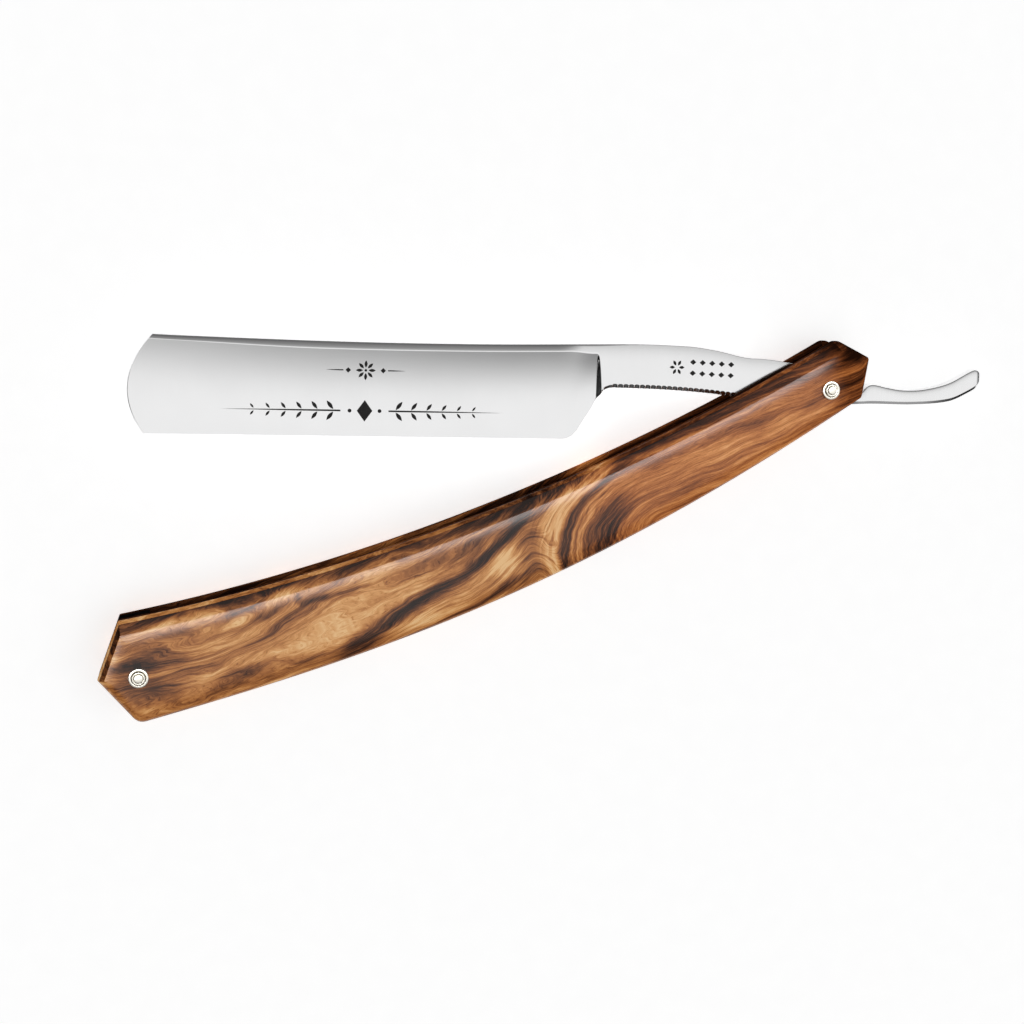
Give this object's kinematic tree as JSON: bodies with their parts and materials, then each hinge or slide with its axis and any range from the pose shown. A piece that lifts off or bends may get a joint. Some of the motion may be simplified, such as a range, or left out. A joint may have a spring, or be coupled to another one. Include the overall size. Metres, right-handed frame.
{
  "type": "straight razor",
  "caption": "Folding straight razor: hollow-ground blade with jimped shank and curled tail, pivoting between two wooden scales held by pinned washers and a wedge.",
  "frame": {"origin": "On the pivot axis, at the flat on the rear head of the pivot pin, which is the lowest point of the razor lying on its side.", "axes": "+Z along the pivot axis from the rear scale to the front scale, -X roughly from the pivot to the blade's nose, -Y towards the cutting edge."},
  "size_m": [0.1565, 0.0634, 0.0112],
  "materials": {
    "wood": "oiled and polished, figured grain",
    "steel": "finely ground and polished",
    "nickel_silver": "polished, silvery",
    "black_horn": "polished"
  },
  "bodies": {
    "handle": {"front_scale": "wood", "rear_scale": "wood", "wedge": "black_horn", "pivot_pin": "nickel_silver", "wedge_pin": "nickel_silver", "pivot_washer_front": "nickel_silver", "pivot_washer_rear": "nickel_silver", "pivot_collar_front": "nickel_silver", "pivot_collar_rear": "nickel_silver", "wedge_washer_front": "nickel_silver", "wedge_washer_rear": "nickel_silver", "wedge_collar_front": "nickel_silver", "wedge_collar_rear": "nickel_silver", "thrust_washer_front": "nickel_silver", "thrust_washer_rear": "nickel_silver"},
    "blade": {"blade": "steel"}
  },
  "joints": [
    {"name": "blade_pivot", "type": "hinge", "parent": "handle", "child": "blade", "pos_m": [0, 0, 0.00559], "axis": [0, 0, -1], "range_deg": [-20.8, 326]}
  ]
}
